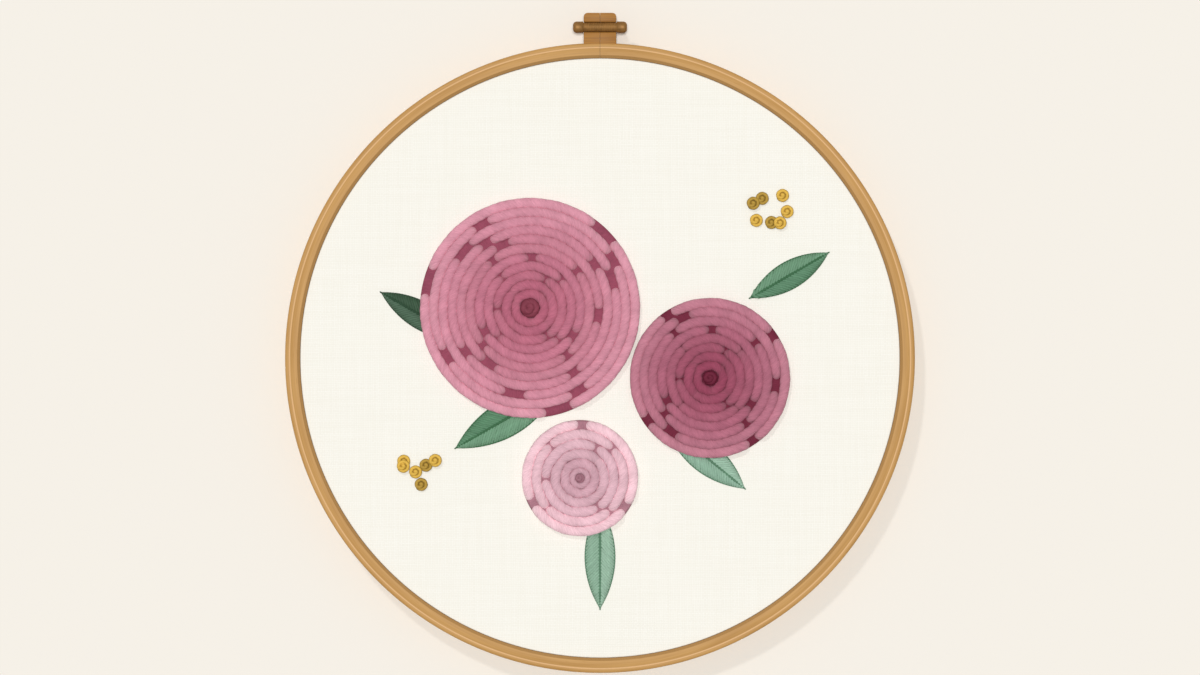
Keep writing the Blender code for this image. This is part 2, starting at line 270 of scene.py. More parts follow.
def hoop_wood():
    """Grain that runs round the hoop, a painted highlight along the joint of the two plies, and a
    bevel darker partly with its own stain and partly as painted shade.
    """
    made, tree, shader = new_material("bamboo_hoop", Specular_IOR_Level=WOOD_SHEEN)
    x, y, z = add(tree, "SeparateXYZ", {0: add(tree, "TexCoord").outputs["Object"]}).outputs
    y = maths(tree, "SUBTRACT", y, HOOP_Y * MM)
    flat = add(tree, "CombineXYZ", {0: x, 1: y, 2: 0.0}).outputs[0]
    radius = add(tree, "VectorMath", {0: flat}, operation="LENGTH").outputs["Value"]
    round_it = add(tree, "VectorMath", {0: flat}, operation="NORMALIZE").outputs[0]
    round_it = vectors(tree, "SCALE", round_it, OUTER_R * MM)
    across = add(tree, "CombineXYZ", {0: 0.0, 1: 0.0, 2: radius}).outputs[0]
    vector = vectors(tree, "ADD", round_it, across)
    colours = {"Pale": dye(BAMBOO_PALE), "Dark": dye(BAMBOO_DARK)}
    grained = placed(tree, grain, {"Vector": vector, "Depth": z, **colours})
    # The pale line along the joint of the two plies is a painted highlight.
    from_line = maths(tree, "ABSOLUTE", maths(tree, "SUBTRACT", radius, GLUE_LINE_R * MM))
    line = maths(tree, "DIVIDE", from_line, 2 * GLUE_LINE_HALF * MM)
    line = ramp(tree, line, [(0.35, 1.0), (0.6, 0.0)])
    painted_highlight = maths(tree, "MULTIPLY", line, PLY_LINE_HIGHLIGHT_SHARE)
    colour = mix(tree, painted_highlight, grained["Color"], dye(PLY_LINE_HIGHLIGHT))
    # The bevel is darkened partly with its own stain and partly as painted shade.
    edge = maths(tree, "SUBTRACT", radius, (OPENING_R + BEVEL) * MM)
    edge = maths(tree, "MULTIPLY_ADD", edge, -1 / (BEVEL_SOFT * MM), 0.5)
    front = add(tree, "MapRange", {0: z, 1: 0.6 * FACE_Z * MM, 2: 0.8 * FACE_Z * MM}).outputs[0]
    bevel_stain_and_shade = maths(tree, "MULTIPLY", ramp(tree, edge, [(0.2, 0.0), (0.8, 1.0)]), front)
    colour = mix(tree, bevel_stain_and_shade, colour, mix(tree, BEVEL_GRAIN, dye(BEVEL_STAIN_AND_SHADE), colour))
    height = maths(tree, "MULTIPLY_ADD", line, -GLUE_LINE_SUNK, grained["Height"])
    outputs = {"Color": colour, "Roughness": grained["Roughness"], "Height": height}
    finish_surface(tree, shader, outputs, WOOD_RELIEF)
    return made


bamboo = hoop_wood()
INNER_OUT_R = 75.95
INNER_WALL = 4.85
INNER_LOW = 0.55
INNER_DEPTH = FACE_Z - INNER_LOW
EDGE_ROUND = 0.6
SCARF_AT = 215.0
SCARF_TURN = 15.0
SCARF_GLUE = 0.05
near, far = INNER_OUT_R - INNER_WALL + EDGE_ROUND, INNER_OUT_R - EDGE_ROUND
low, high = EDGE_ROUND, INNER_DEPTH - EDGE_ROUND
profile = []
for centre, turn in (((near, low), 180), ((far, low), 270), ((far, high), 0), ((near, high), 90)):
    profile += arc(centre, EDGE_ROUND, turn, turn + 90, 4)
glue = math.degrees(SCARF_GLUE / INNER_OUT_R)
inner_skin = turned(profile, SCARF_AT + glue, 360 - glue, 240, SCARF_TURN)
piece("inner_ring_bamboo", [inner_skin], bamboo, ["inner_ring"])


# Cloth: a round of plain woven cream cotton linen, drawn drum tight over the inner ring, pressed
# down between the rings and trimmed off at the back. It dips a little where the thick yarn pulls.
CLOTH_THICK = 0.45
CLOTH_R = 76.45
CLOTH_EDGE_Z = 0.6
SHOULDER = 0.3
CLOTH_COLOUR = "FAF8F0"
WEAVE_SHADE_AND_SLUB_TONE = "E6E0CF"
WEAVE_PITCH = 0.45
WEAVE_WANDER = 0.35
WEAVE_PAINTED_SHADE = 0.30
WEAVE_RELIEF = 0.08
SLUB_SHADE = 0.16
SLUBS_PER_M = 30.0


def linen():
    """Warp and weft that pass over and under by turns, with uneven threads and slubs. The dye
    is darker where the weave lies low, as painted shade.
    """
    made, tree, shader = new_material("cream_linen", Roughness=0.9, Specular_IOR_Level=0.15)
    place = add(tree, "TexCoord").outputs["Object"]
    wander = add(tree, "TexNoise", {"Vector": place, "Scale": 160.0, "Detail": 2.0}).outputs[1]
    wander = vectors(tree, "SUBTRACT", wander, (0.5, 0.5, 0.5))
    place = vectors(tree, "ADD", place, vectors(tree, "SCALE", wander, WEAVE_WANDER * MM))
    x, y, _ = add(tree, "SeparateXYZ", {0: place}).outputs
    u, v = (maths(tree, "DIVIDE", at, WEAVE_PITCH * MM) for at in (x, y))
    phases = [maths(tree, "MULTIPLY", maths(tree, "FRACT", at), math.pi) for at in (u, v)]
    warp, weft = (maths(tree, "SINE", phase) for phase in phases)
    parity = maths(tree, "ADD", maths(tree, "FLOOR", u), maths(tree, "FLOOR", v))
    over = maths(tree, "GREATER_THAN", maths(tree, "FRACT", maths(tree, "MULTIPLY", parity, 0.5)), 0.25)
    warp_up = maths(tree, "MULTIPLY", warp, maths(tree, "MULTIPLY_ADD", weft, 0.5, 0.5))
    weft_up = maths(tree, "MULTIPLY", weft, maths(tree, "MULTIPLY_ADD", warp, 0.5, 0.5))
    height = add(tree, "Mix", {0: over, 2: weft_up, 3: warp_up}, data_type="FLOAT").outputs[0]
    down = maths(tree, "MULTIPLY", y, SLUBS_PER_M)
    ends = add(tree, "CombineXYZ", {0: maths(tree, "FLOOR", u), 1: down}).outputs[0]
    along = maths(tree, "MULTIPLY", x, SLUBS_PER_M)
    picks = add(tree, "CombineXYZ", {0: along, 1: maths(tree, "FLOOR", v)}).outputs[0]
    tones = {2: noise(tree, picks, 1.7), 3: noise(tree, ends, 1.7)}
    slub = add(tree, "Mix", {0: over, **tones}, data_type="FLOAT").outputs[0]
    # Painted shade where the weave lies low, and a darker tone where a thread thins at a slub.
    painted_shade_and_slubs = maths(tree, "MULTIPLY", maths(tree, "SUBTRACT", 1.0, height), WEAVE_PAINTED_SHADE)
    thin = ramp(tree, slub, [(0.35, 1.0), (0.65, 0.0)])
    painted_shade_and_slubs = maths(tree, "ADD", painted_shade_and_slubs, maths(tree, "MULTIPLY", thin, SLUB_SHADE))
    colour = mix(tree, painted_shade_and_slubs, dye(CLOTH_COLOUR), dye(WEAVE_SHADE_AND_SLUB_TONE))
    height = maths(tree, "ADD", height, maths(tree, "MULTIPLY", slub, 0.5))
    finish_surface(tree, shader, {"Color": colour, "Height": height}, WEAVE_RELIEF, 0.6)
    return made


ROSES = {
    "rose_large": dict(x=-17.85, y=12.75, radius=28.05, eye=2.55, rows=11, pitch=2.31),
    "rose_middle": dict(x=28.05, y=-5.10, radius=20.40, eye=1.85, rows=8, pitch=2.26),
    "rose_small": dict(x=-5.10, y=-30.60, radius=14.80, eye=1.35, rows=5, pitch=2.42),
}
PULL_DEPTH = 0.25
PULL_REACH = 3.0
RIPPLE = 0.07
RIPPLES = 23
RIPPLE_FROM = 48
RIPPLE_FULL = 72
SWELL = 0.04
CALM_EDGE = 6
INSIDE_BEND = 0.05


def past_rim(rose, x, y):
    """How far places lie outside a rose's rim, below 0 under the rose."""
    return np.hypot(x - rose["x"], y - rose["y"]) - rose["radius"]


def cloth_rise(x, y):
    """How far the taut cloth's face lies above its plane: dips round the roses and faint ripples."""
    rise = np.zeros_like(x)
    for rose in ROSES.values():
        rise -= PULL_DEPTH * np.exp(-np.maximum(past_rim(rose, x, y), 0) / PULL_REACH)
    radius, angle = np.hypot(x, y), np.arctan2(y, x)
    near_ring = np.clip((radius - RIPPLE_FROM) / (RIPPLE_FULL - RIPPLE_FROM), 0, 1) ** 2
    crests = np.sin(RIPPLES * angle + 2 * np.sin(3 * angle)) * np.cos(radius * 0.05)
    rise += RIPPLE * near_ring * crests
    rise += SWELL * np.sin(0.11 * x + 0.07 * y) * np.cos(0.09 * y - 0.05 * x)
    return rise


rings = np.linspace(0.4, CLOTH_R - SHOULDER, 61)
angles = np.radians(np.arange(240) * 360 / 240)
bend = arc((CLOTH_R - SHOULDER, FACE_Z - SHOULDER), SHOULDER, 90, 0, 5)[1:]
inside_bend = arc((CLOTH_R - SHOULDER, FACE_Z - SHOULDER), INSIDE_BEND, 0, 90, 3)
outer = [(r, FACE_Z) for r in rings] + bend + [(CLOTH_R, FACE_Z / 2), (CLOTH_R, CLOTH_EDGE_Z)]
back = [(CLOTH_R - CLOTH_THICK, CLOTH_EDGE_Z), (CLOTH_R - CLOTH_THICK, FACE_Z / 2)] + inside_bend
back += [(r, FACE_Z - CLOTH_THICK) for r in rings[::-2]]
radius, height = np.array(outer + back).T
grid = lathe(angles[:, None], radius, height)
free = np.clip((CLOTH_R - SHOULDER - radius) / CALM_EDGE, 0, 1)
grid[..., 2] += free * cloth_rise(grid[..., 0], grid[..., 1])
cloth = piece("stretched_cloth", [skin(grid, disc=True)], linen(), ["cloth"])


# Outer ring: two bamboo plies glued and bent round the cloth, split at the top so that the clamp
# can draw it tight. The front inner edge is bevelled to let the cloth in.
SPLIT = 0.07
CORNER = 0.7
GROOVE_HALF = 0.12
GROOVE_DEEP = 0.08
BEVEL_LINE = 0.06
EDGE_LINE = 0.1
FOOT_BREAK = 0.3
profile = arc((OUTER_R - CORNER, CORNER), CORNER, 270, 360, 5)
profile += arc((OUTER_R - CORNER, HOOP_DEPTH - CORNER), CORNER, 0, 90, 6)
profile += [
    (GLUE_LINE_R + GROOVE_HALF, HOOP_DEPTH),
    (GLUE_LINE_R, HOOP_DEPTH - GROOVE_DEEP),
    (GLUE_LINE_R - GROOVE_HALF, HOOP_DEPTH),
    (OPENING_R + BEVEL + EDGE_LINE, HOOP_DEPTH),
]
for down in (0.0, BEVEL_LINE, BEVEL - BEVEL_LINE, BEVEL):
    profile.append((OPENING_R + BEVEL - down, HOOP_DEPTH - down))
profile += [
    (OPENING_R, HOOP_DEPTH - BEVEL - EDGE_LINE),
    (OPENING_R, FOOT_BREAK),
    (OPENING_R + FOOT_BREAK, 0.0),
]
half_split = math.degrees(SPLIT / 2 / OUTER_R)
outer_skin = turned(profile, 90 + half_split, 360 - 2 * half_split, 288)
piece("outer_ring_bamboo", [outer_skin], bamboo, ["outer_ring"])


# Ears: two blocks of darker wood, glued to the ends of the outer ring, with a round bottomed slot
# open to the front that holds the screw. Their edges are broken with sandpaper.
EAR_PALE = "AE7933"
EAR_DARK = "8E5D23"
EARS_WIDTH = 8.3
EARS_TOP = 88.0
EARS_DEPTH = 9.7
EAR_FOOT = 79.9
EAR_CORNER = 1.0
EAR_EDGE = 0.16
SCREW_Y = 84.35
SCREW_Z = 9.3
SLOT_R = 1.32
NEARLY = 0.01


def ear_wood():
    """The rings' grain, run across the block."""
    made, tree, shader = new_material("ear_wood", Specular_IOR_Level=WOOD_SHEEN)
    x, y, z = add(tree, "SeparateXYZ", {0: add(tree, "TexCoord").outputs["Object"]}).outputs
    vector = add(tree, "CombineXYZ", {0: x, 1: 0.0, 2: y}).outputs[0]
    colours = {"Pale": dye(EAR_PALE), "Dark": dye(EAR_DARK)}
    grained = placed(tree, grain, {"Vector": vector, "Depth": z, **colours})
    finish_surface(tree, shader, grained, WOOD_RELIEF)
    return made


def mesh_skin(bm):
    """The points and faces of a bmesh, sorted to be the same each run. It is freed."""
    verts = sorted(bm.verts, key=lambda v: [round(part, 4) for part in v.co])
    rank = {v: i for i, v in enumerate(verts)}
    points = np.array([v.co[:] for v in verts])
    faces = []
    for face in bm.faces:
        corners = [rank[v] for v in face.verts]
        first = corners.index(min(corners))
        faces.append(tuple(corners[first:] + corners[:first]))
    bm.free()
    return {"points": points, "quads": np.empty((0, 4), int), "ends": sorted(faces), "marks": {}}


def ear(hand, side):
    """The outline seen from the side, with the slot, drawn out to the ear's width and rounded off."""
    slot = arc((SCREW_Y, SCREW_Z), SLOT_R, 180, 360, 12)
    outline = [(EAR_FOOT, 0.0), (EAR_FOOT, EARS_DEPTH), (SCREW_Y - SLOT_R, EARS_DEPTH)] + slot
    outline += [(SCREW_Y + SLOT_R, EARS_DEPTH), (EARS_TOP, EARS_DEPTH), (EARS_TOP, 0.0)]
    near, far = SPLIT / 2, EARS_WIDTH / 2
    bm = bmesh.new()
    face = bm.faces.new([bm.verts.new((side * near, y, z)) for y, z in outline])
    grown = bmesh.ops.extrude_face_region(bm, geom=[face])["geom"]
    moved = [v for v in grown if isinstance(v, bmesh.types.BMVert)]
    bmesh.ops.translate(bm, vec=(side * (far - near), 0, 0), verts=moved)
    top = [
        e for e in bm.edges
        if all(v.co.y > EARS_TOP - NEARLY and abs(abs(v.co.x) - far) < NEARLY for v in e.verts)
    ]
    bmesh.ops.bevel(bm, geom=top, offset=EAR_CORNER, segments=6, affect="EDGES", profile=0.5)
    bm.normal_update()
    sharp = [
        e for e in bm.edges
        if e.is_manifold and e.calc_face_angle() > math.radians(40)
        and any(abs(v.co.x) > near + NEARLY for v in e.verts)
    ]
    bmesh.ops.bevel(bm, geom=sharp, offset=EAR_EDGE, segments=3, affect="EDGES", profile=0.5)
    return piece("ear_block_" + hand, [mesh_skin(bm)], ear_look, ["ear_" + hand])


ear_look = ear_wood()
ear("left", -1)
ear("right", 1)


# Clamp screw and cap nut: turned brass, left to go brown, with a driving slot in the screw's head
# and a rolled thread on the shank that lies in the ears' slots. The screw turns about its own axis.
SCREW_LENGTH = 13.8
HEAD_R = 1.45
HEAD_ROUND = 0.95
HEAD_BREAK = 0.1
EAR_GAP = 0.15
SHANK_R = 1.26
SHANK_SHORT = 1.2
BORE_GAP = 0.05
BLIND_END = 0.9
THREAD_PITCH = 0.6
THREAD_DEPTH = 0.12
THREAD_STEPS = 8
SLOT_DEEP = 0.5
SLOT_HALF = 0.22
BRONZE = "9A6E36"
BRONZE_DARK = "855E2D"
BRONZE_WORN = "AE8448"


def aged_brass():
    """Brown brass, darker in blotches and rubbed bright in fine turned lines."""
    made, tree, shader = new_material("aged_brass", Metallic=0.45)
    place = add(tree, "TexCoord").outputs["Object"]
    blotch = noise(tree, place, scale=900.0, detail=4.0)
    line = noise(tree, vectors(tree, "MULTIPLY", place, (9000, 500, 500)))
    colour = mix(tree, ramp(tree, blotch, [(0.3, 1.0), (0.6, 0.0)]), dye(BRONZE), dye(BRONZE_DARK))
    rubbed = maths(tree, "MULTIPLY", ramp(tree, line, [(0.55, 0.0), (0.75, 1.0)]), 0.4)
    colour = mix(tree, rubbed, colour, dye(BRONZE_WORN))
    rough = maths(tree, "MULTIPLY_ADD", blotch, 0.3, 0.4)
    finish_surface(tree, shader, {"Color": colour, "Roughness": rough, "Height": line}, 0.02, 0.5)
    return made


def along_x(stations, radii, start, sides=48, thread=None):
    """Rings of points round the screw's axis. thread gives each point's radius its helix."""
    turn = np.radians(np.arange(sides) * 360 / sides)
    x = np.array(stations)[:, None] + start + 0 * turn
    radius = np.array(radii)[:, None] + 0 * turn
    if thread is not None:
        phase = (x / THREAD_PITCH + turn / (2 * math.pi)) % 1
        radius = radius - np.array(thread)[:, None] * THREAD_DEPTH * np.abs(2 * phase - 1)
    return np.stack([x, SCREW_Y + radius * np.cos(turn), SCREW_Z + radius * np.sin(turn)], axis=-1)


def slotted(made, start, deep, half):
    """A straight slot for the screwdriver, level at rest, milled into the end that lies at start."""
    bm = bmesh.new()
    verts = [bm.verts.new(point) for point in made["points"]]
    for corners in made["quads"].tolist() + made["ends"]:
        bm.faces.new([verts[i] for i in corners])
    cuts = (
        ((start + deep, 0, 0), (1, 0, 0)),
        ((0, 0, SCREW_Z - half), (0, 0, 1)),
        ((0, 0, SCREW_Z + half), (0, 0, 1)),
    )
    for place, square in cuts:
        faces = [f for f in bm.faces if min(v.co.x for v in f.verts) < start + deep]
        edges = {e for f in faces for e in f.edges}
        corners = {v for f in faces for v in f.verts}
        geom = faces + list(edges) + list(corners)
        bmesh.ops.bisect_plane(bm, geom=geom, plane_co=place, plane_no=square, dist=1e-4)
    middles = [(f, f.calc_center_median()) for f in bm.faces]
    milled = [f for f, at in middles if at.x < start + deep and abs(at.z - SCREW_Z) < half]
    rims = {e for f in milled for e in f.edges}
    grown = bmesh.ops.extrude_face_region(bm, geom=milled + list(rims))["geom"]
    for v in grown:
        if isinstance(v, bmesh.types.BMVert):
            v.co.x = start + deep
    bmesh.ops.remove_doubles(bm, verts=bm.verts, dist=1e-4)
    return mesh_skin(bm)


brass = aged_brass()
half = SCREW_LENGTH / 2
head_length = half - EARS_WIDTH / 2 - EAR_GAP
round_end = arc((HEAD_ROUND, HEAD_R - HEAD_ROUND), HEAD_ROUND, 180, 90, 8)
shank = np.arange(head_length, SCREW_LENGTH - SHANK_SHORT, THREAD_PITCH / THREAD_STEPS)
x = [a for a, _ in round_end] + [head_length - HEAD_BREAK, head_length] + list(shank)
radii = [b for _, b in round_end] + [HEAD_R, HEAD_R - HEAD_BREAK] + [SHANK_R] * len(shank)
thread = [0.0] * (len(x) - len(shank)) + [1.0] * len(shank)
screw_skin = slotted(skin(along_x(x, radii, -half, thread=thread)), -half, SLOT_DEEP, SLOT_HALF)
piece("screw_aged_brass", [screw_skin], brass, ["clamp_screw"], body="screw")
nut_start = EARS_WIDTH / 2 + EAR_GAP
nut_length = half - nut_start
bore = SHANK_R + BORE_GAP
nut_end = arc((nut_length - HEAD_ROUND, HEAD_R - HEAD_ROUND), HEAD_ROUND, 90, 0, 8)
x = [nut_length - BLIND_END, 0.0, 0.0, HEAD_BREAK] + [a for a, _ in nut_end]
radii = [bore, bore, HEAD_R - HEAD_BREAK, HEAD_R] + [b for _, b in nut_end]
nut_skin = skin(along_x(x, radii, nut_start))
piece("cap_nut_aged_brass", [nut_skin], brass, ["clamp_nut"])


# Leaves: satin stitch in stranded cotton, laid aslant from the rib to the edge over a thin padding,
# in two greens, with a dark line of stem stitch for the rib and a fine outline.
def tint(code):
    """A colour code as linear RGB, for a thread's dye."""
    return np.array(dye(code)[:3])


def marked(made, own, crest, colour):
    """The skin with what its material reads: place on the thread, crests of its plies and dye."""
    made["marks"]["strand"] = own.reshape(-1, 3)
    made["marks"]["crest"] = np.broadcast_to(crest, own.shape[:2]).ravel()
    made["marks"]["dye"] = np.tile(colour, (len(made["points"]), 1))
    return made


def level_side(path):
    """At each point of a path, the level direction square to it."""
    ahead = np.gradient(path, axis=0)
    ahead[:, 2] = 0
    ahead /= np.linalg.norm(ahead, axis=1)[:, None]
    return np.cross([0, 0, 1], ahead)


def strand(
    path, side, radius, colour, sides=8, plies=2, lay=2.0, groove=0.12, flat=1.0, turn=0.0, squared=2.0
):
    """A thread along path. side is level and square to it. Its plies turn once in each lay, and
    squared above 2 makes its section fuller towards the corners, as in packed rows."""
    steps = np.linalg.norm(np.diff(path, axis=0), axis=1)
    along = np.concatenate([[0], np.cumsum(steps)])
    ahead = np.gradient(path, axis=0)
    ahead /= np.linalg.norm(ahead, axis=1)[:, None]
    up = np.cross(ahead, side)
    around = np.arange(sides) * 2 * math.pi / sides
    crest = np.abs(np.cos(plies * around / 2))
    shape = 1 - groove * (1 - crest)
    angle = around[None, :] + (2 * math.pi * along / lay + turn)[:, None]
    power = np.broadcast_to(squared, len(path))[:, None]
    fuller = (np.abs(np.cos(angle)) ** power + np.abs(np.sin(angle)) ** power) ** (-1 / power)
    reach = np.broadcast_to(radius, len(path))[:, None] * shape * fuller
    ring = np.cos(angle)[..., None] * side[:, None] + flat * np.sin(angle)[..., None] * up[:, None]
    made = skin(path[:, None] + reach[..., None] * ring)
    far = along[:, None] + 0 * reach
    own = np.stack([far, reach * np.cos(around), reach * np.sin(around)], axis=-1)
    return marked(made, own, crest, colour)


def spun_fibres():
    """Fibres along a thread. Strand is the place on the thread in mm, with X along it. Depth
    darkens the dye between the crests of its plies, as painted shade.
    """
    inputs = {"Strand": "Vector", "Crest": "Float", "Dye": "Color", "Fineness": "Float"}
    inputs["Depth"] = "Float"
    outputs = {"Color": "Color", "Roughness": "Float", "Height": "Float"}
    tree, given, out = new_group("Spun fibres", inputs, outputs)
    drawn_out = vectors(tree, "MULTIPLY", given["Strand"], (0.35, 2.6, 2.6))
    fibre = noise(tree, vectors(tree, "SCALE", drawn_out, given["Fineness"]), detail=3.0)
    uneven = noise(tree, vectors(tree, "SCALE", given["Strand"], 0.25), detail=1.0)
    tone = maths(tree, "MULTIPLY_ADD", fibre, 0.7, maths(tree, "MULTIPLY", uneven, 0.3))
    dark = mix(tree, 1.0, given["Dye"], (0.8, 0.78, 0.78, 1), blend="MULTIPLY")
    pale = mix(tree, 1.0, given["Dye"], (1.2, 1.18, 1.18, 1), blend="MULTIPLY")
    colour = mix(tree, ramp(tree, tone, [(0.34, 0.0), (0.66, 1.0)]), dark, pale)
    # Painted shade: the dye darkens by Depth between the crests of the plies.
    ply_groove_shade = maths(tree, "MULTIPLY", maths(tree, "SUBTRACT", 1.0, given["Crest"]), given["Depth"])
    colour = mix(tree, ply_groove_shade, colour, dark)
    tree.links.new(colour, out["Color"])
    tree.links.new(maths(tree, "MULTIPLY_ADD", fibre, 0.25, 0.5), out["Roughness"])
    tree.links.new(fibre, out["Height"])
    return tree


fibres = spun_fibres()


def thread_look(name, fineness, painted_ply_shade, relief, **constants):
    """Thread whose dye, place and crests are marks of its mesh, with relief in mm."""
    made, tree, shader = new_material(name, **constants)
    inputs = {"Fineness": fineness, "Depth": painted_ply_shade}
    for title, field in (("Strand", "Vector"), ("Crest", "Fac"), ("Dye", "Vector")):
        mark = add(tree, "Attribute", attribute_name=title.lower())
        inputs[title] = mark.outputs[field]
    finish_surface(tree, shader, placed(tree, fibres, inputs), relief)
    return made


floss = thread_look("cotton_floss", fineness=3.0, painted_ply_shade=0.2, relief=0.04, Specular_IOR_Level=0.2)
LEAVES = {
    "leaf_upper_left": dict(
        x=-55.91, y=16.78, heading=-30, length=24.4, width=7.0, slant=-1, under="rose_large",
        left="3C5842", right="4F6B56", rib="2C4A34", slot="floss_deep_green",
    ),
    "leaf_lower_left": dict(
        x=-36.88, y=-23.01, heading=30, length=30.3, width=9.1, slant=-1, under="rose_large",
        left="5C8A69", right="729D7E", rib="3D6B48", slot="floss_green",
    ),
    "leaf_upper_right": dict(
        x=38.20, y=15.28, heading=30, length=23.2, width=7.0, slant=1, under=None,
        left="6F9A7B", right="608C6D", rib="3D6B49", slot="floss_mid_green",
    ),
    "leaf_lower_right": dict(
        x=36.96, y=-33.34, heading=141, length=26.3, width=8.0, slant=-1, under="rose_middle",
        left="90B59E", right="9DC1AA", rib="5A8267", slot="floss_sage",
    ),
    "leaf_bottom": dict(
        x=0.00, y=-64.00, heading=90, length=26.6, width=7.7, slant=-1, under="rose_small",
        left="8DB199", right="99BBA4", rib="5A8267", slot="floss_pale_sage",
    ),
}
SATIN_PITCH = 0.55
SATIN_SLANT = 42
SATIN_R = 0.39
SATIN_FLAT = 0.62
SATIN_LAY = 7.0
SATIN_LOW = 0.30
SHORTEST = 0.15
SHORT_LOW = 0.45
PAD_RISE = 0.75
PAD_START = 0.12
PAD_FULL = 3.0
END_SUNK = 0.05
LINE_STEP = 0.2
LINE_GROOVE = 0.2
RIB_R = 0.42
RIB_PAST = 0.25
RIB_LOW = 0.25
RIB_RISE = 0.52
RIB_SUNK = 0.2
RIB_LAY = 1.8
OUTLINE_R = 0.22
OUTLINE_IN = 0.1
OUTLINE_RISE = 0.14
OUTLINE_LAY = 1.6
THINNED = 0.5
TUCK = 1.6
PRESS_FROM = 1.0
PRESS_FULL = 2.5
PRESSED = 0.15
rng = np.random.default_rng(7)


def leaf(name, x, y, heading, length, width, slant, under, left, right, rib, slot):
    """Stitches on both halves, then the outline and the rib. slant is 1 if they lean away from the
    end at x, y, and a leaf under a rose stops and lies lower there."""
    bulge = width / 2
    turn = math.radians(heading)
    along = np.array([math.cos(turn), math.sin(turn), 0.0])
    across = np.array([-math.sin(turn), math.cos(turn), 0.0])
    start = np.array([x, y, 0.0])

    def edge(at):
        """Half the leaf's width at places along it."""
        return np.maximum(4 * bulge * at * (length - at) / length**2, 0)

    def outline(at):
        return np.maximum(edge(at) - OUTLINE_IN, 0.6 * edge(at))

    def laid(at, off, rise):
        """Points on the cloth from places along the leaf, off its rib and above the cloth."""
        flat = start + np.outer(at, along) + np.outer(off, across)
        if under:
            out = past_rim(ROSES[under], flat[:, 0], flat[:, 1])
            rise = rise * np.clip((out + PRESS_FULL) / (PRESS_FROM + PRESS_FULL), PRESSED, 1)
        flat[:, 2] = FACE_Z + cloth_rise(flat[:, 0], flat[:, 1]) + rise
        return flat

    def sewn(points):
        """Which points aren't further in under the rose than the leaf goes."""
        if not under:
            return np.full(len(points), True)
        return past_rim(ROSES[under], points[:, 0], points[:, 1]) > -TUCK

    skins = []
    lean = math.radians(SATIN_SLANT)
    step = SATIN_PITCH / math.sin(lean)
    for hand, code in ((1, left), (-1, right)):
        for at in np.arange(0.25 * step, length, step):
            reach = np.linspace(0, bulge * 1.6, 200)
            places = at + slant * reach * math.cos(lean)
            off = reach * math.sin(lean)
            beyond = np.flatnonzero((off > outline(places)) | (places < 0) | (places > length))
            long = reach[beyond[0]] if len(beyond) else reach[-1]
            if long < SHORTEST:
                continue
            share = np.linspace(0, 1, 9)
            t = share * long
            arch = np.sin(math.pi * (PAD_START + (1 - PAD_START) * share[:-1])) ** 0.8
            full = SHORT_LOW + (1 - SHORT_LOW) * min(1.0, long / PAD_FULL)
            rise = np.append((SATIN_LOW + PAD_RISE * arch) * full, -END_SUNK)
            rise[-2] = 0.6 * rise[-2] + END_SUNK
            wobble = rng.normal(0, 0.03)
            path = laid(at + wobble + slant * t * math.cos(lean), hand * t * math.sin(lean), rise)
            if not sewn(path).any():
                continue
            plan = path[-1] - path[0]
            plan[2] = 0
            plan /= np.linalg.norm(plan)
            side = np.tile(np.cross([0, 0, 1], plan), (len(path), 1))
            radius = SATIN_R * (1 + rng.normal(0, 0.04))
            radius = radius * np.interp(share, [0, 0.15, 0.9, 1], [0.8, 1, 1, 0.7])
            radius = radius * np.interp(long, [0.2, 1.2], [0.5, 1.0])
            tone = tint(code) * (1 + rng.normal(0, 0.035))
            form = dict(lay=SATIN_LAY, groove=0.1, flat=SATIN_FLAT, turn=rng.uniform(0, 6))
            skins.append(strand(path, side, radius, tone, **form))

    def line(at, off, rise, radius, lay):
        """A thread of the rib's colour along the leaf, thinner towards the tips."""
        path = laid(at, off, rise)
        kept = sewn(path)
        path = path[kept]
        radius = radius * np.clip(THINNED + edge(at) / bulge, THINNED, 1)[kept]
        return strand(path, level_side(path), radius, tint(rib), lay=lay, groove=LINE_GROOVE)

    at = np.linspace(0, length, int(length / LINE_STEP))
    for hand in (1, -1):
        skins.append(line(at, hand * outline(at), OUTLINE_RISE + 0 * at, OUTLINE_R, OUTLINE_LAY))
    at = np.linspace(-RIB_PAST, length + RIB_PAST, int(length / LINE_STEP))
    rise = RIB_LOW + RIB_RISE * np.clip(edge(at) / bulge * 2.5, 0, 1)
    rise[[0, -1]] = -RIB_SUNK
    skins.append(line(at, 0 * at, rise, RIB_R, RIB_LAY))
    return piece(name + "_satin", skins, floss, [name])


for name, given in LEAVES.items():
    leaf(name, **given)


# Roses: woven wheels in thick three ply yarn, passed over and under the spokes in round after round.
# Each round shows as arcs whose ends dive, and the dark ground of the spokes shows between them.
ROSE_DYES = {
    "rose_large": dict(
        outer="D896A7", inner="B16176", ground="934A5E", eye="85404F", slot="yarn_rose",
    ),
    "rose_middle": dict(
        outer="BE7C8D", inner="94455C", ground="732B3F", eye="6D273B", slot="yarn_plum",
    ),
    "rose_small": dict(
        outer="F0C8D1", inner="CEA2AE", ground="A87985", eye="9D707C", slot="yarn_blush",
    ),
}
ROW_HALF = 1.27
ROW_WAVE = 0.06
ROW_RIPPLE = 0.04
ROW_HUMP = 0.10
YARN_R = 1.31
YARN_UNEVEN = 0.03
YARN_FLAT = 0.9
YARN_SQUARED = 3.9
YARN_LAY = 6.3
YARN_SIDES = 18
YARN_FORM = dict(plies=3, lay=YARN_LAY, groove=0.07)
YARN_STEP = 0.42
ROW_TURN = 47.0
GAP_SHARE = 0.16
END_REACH = 0.45
RIM_RISE = 2.3
CROWN_RISE = 3.6
CROWN_AT = 0.45
MIDDLE_DIP = 0.6
DIVE = 1.25
DIVE_DROP = 1.5
CLOSED_DROP = 0.5
THINNEST = 0.4
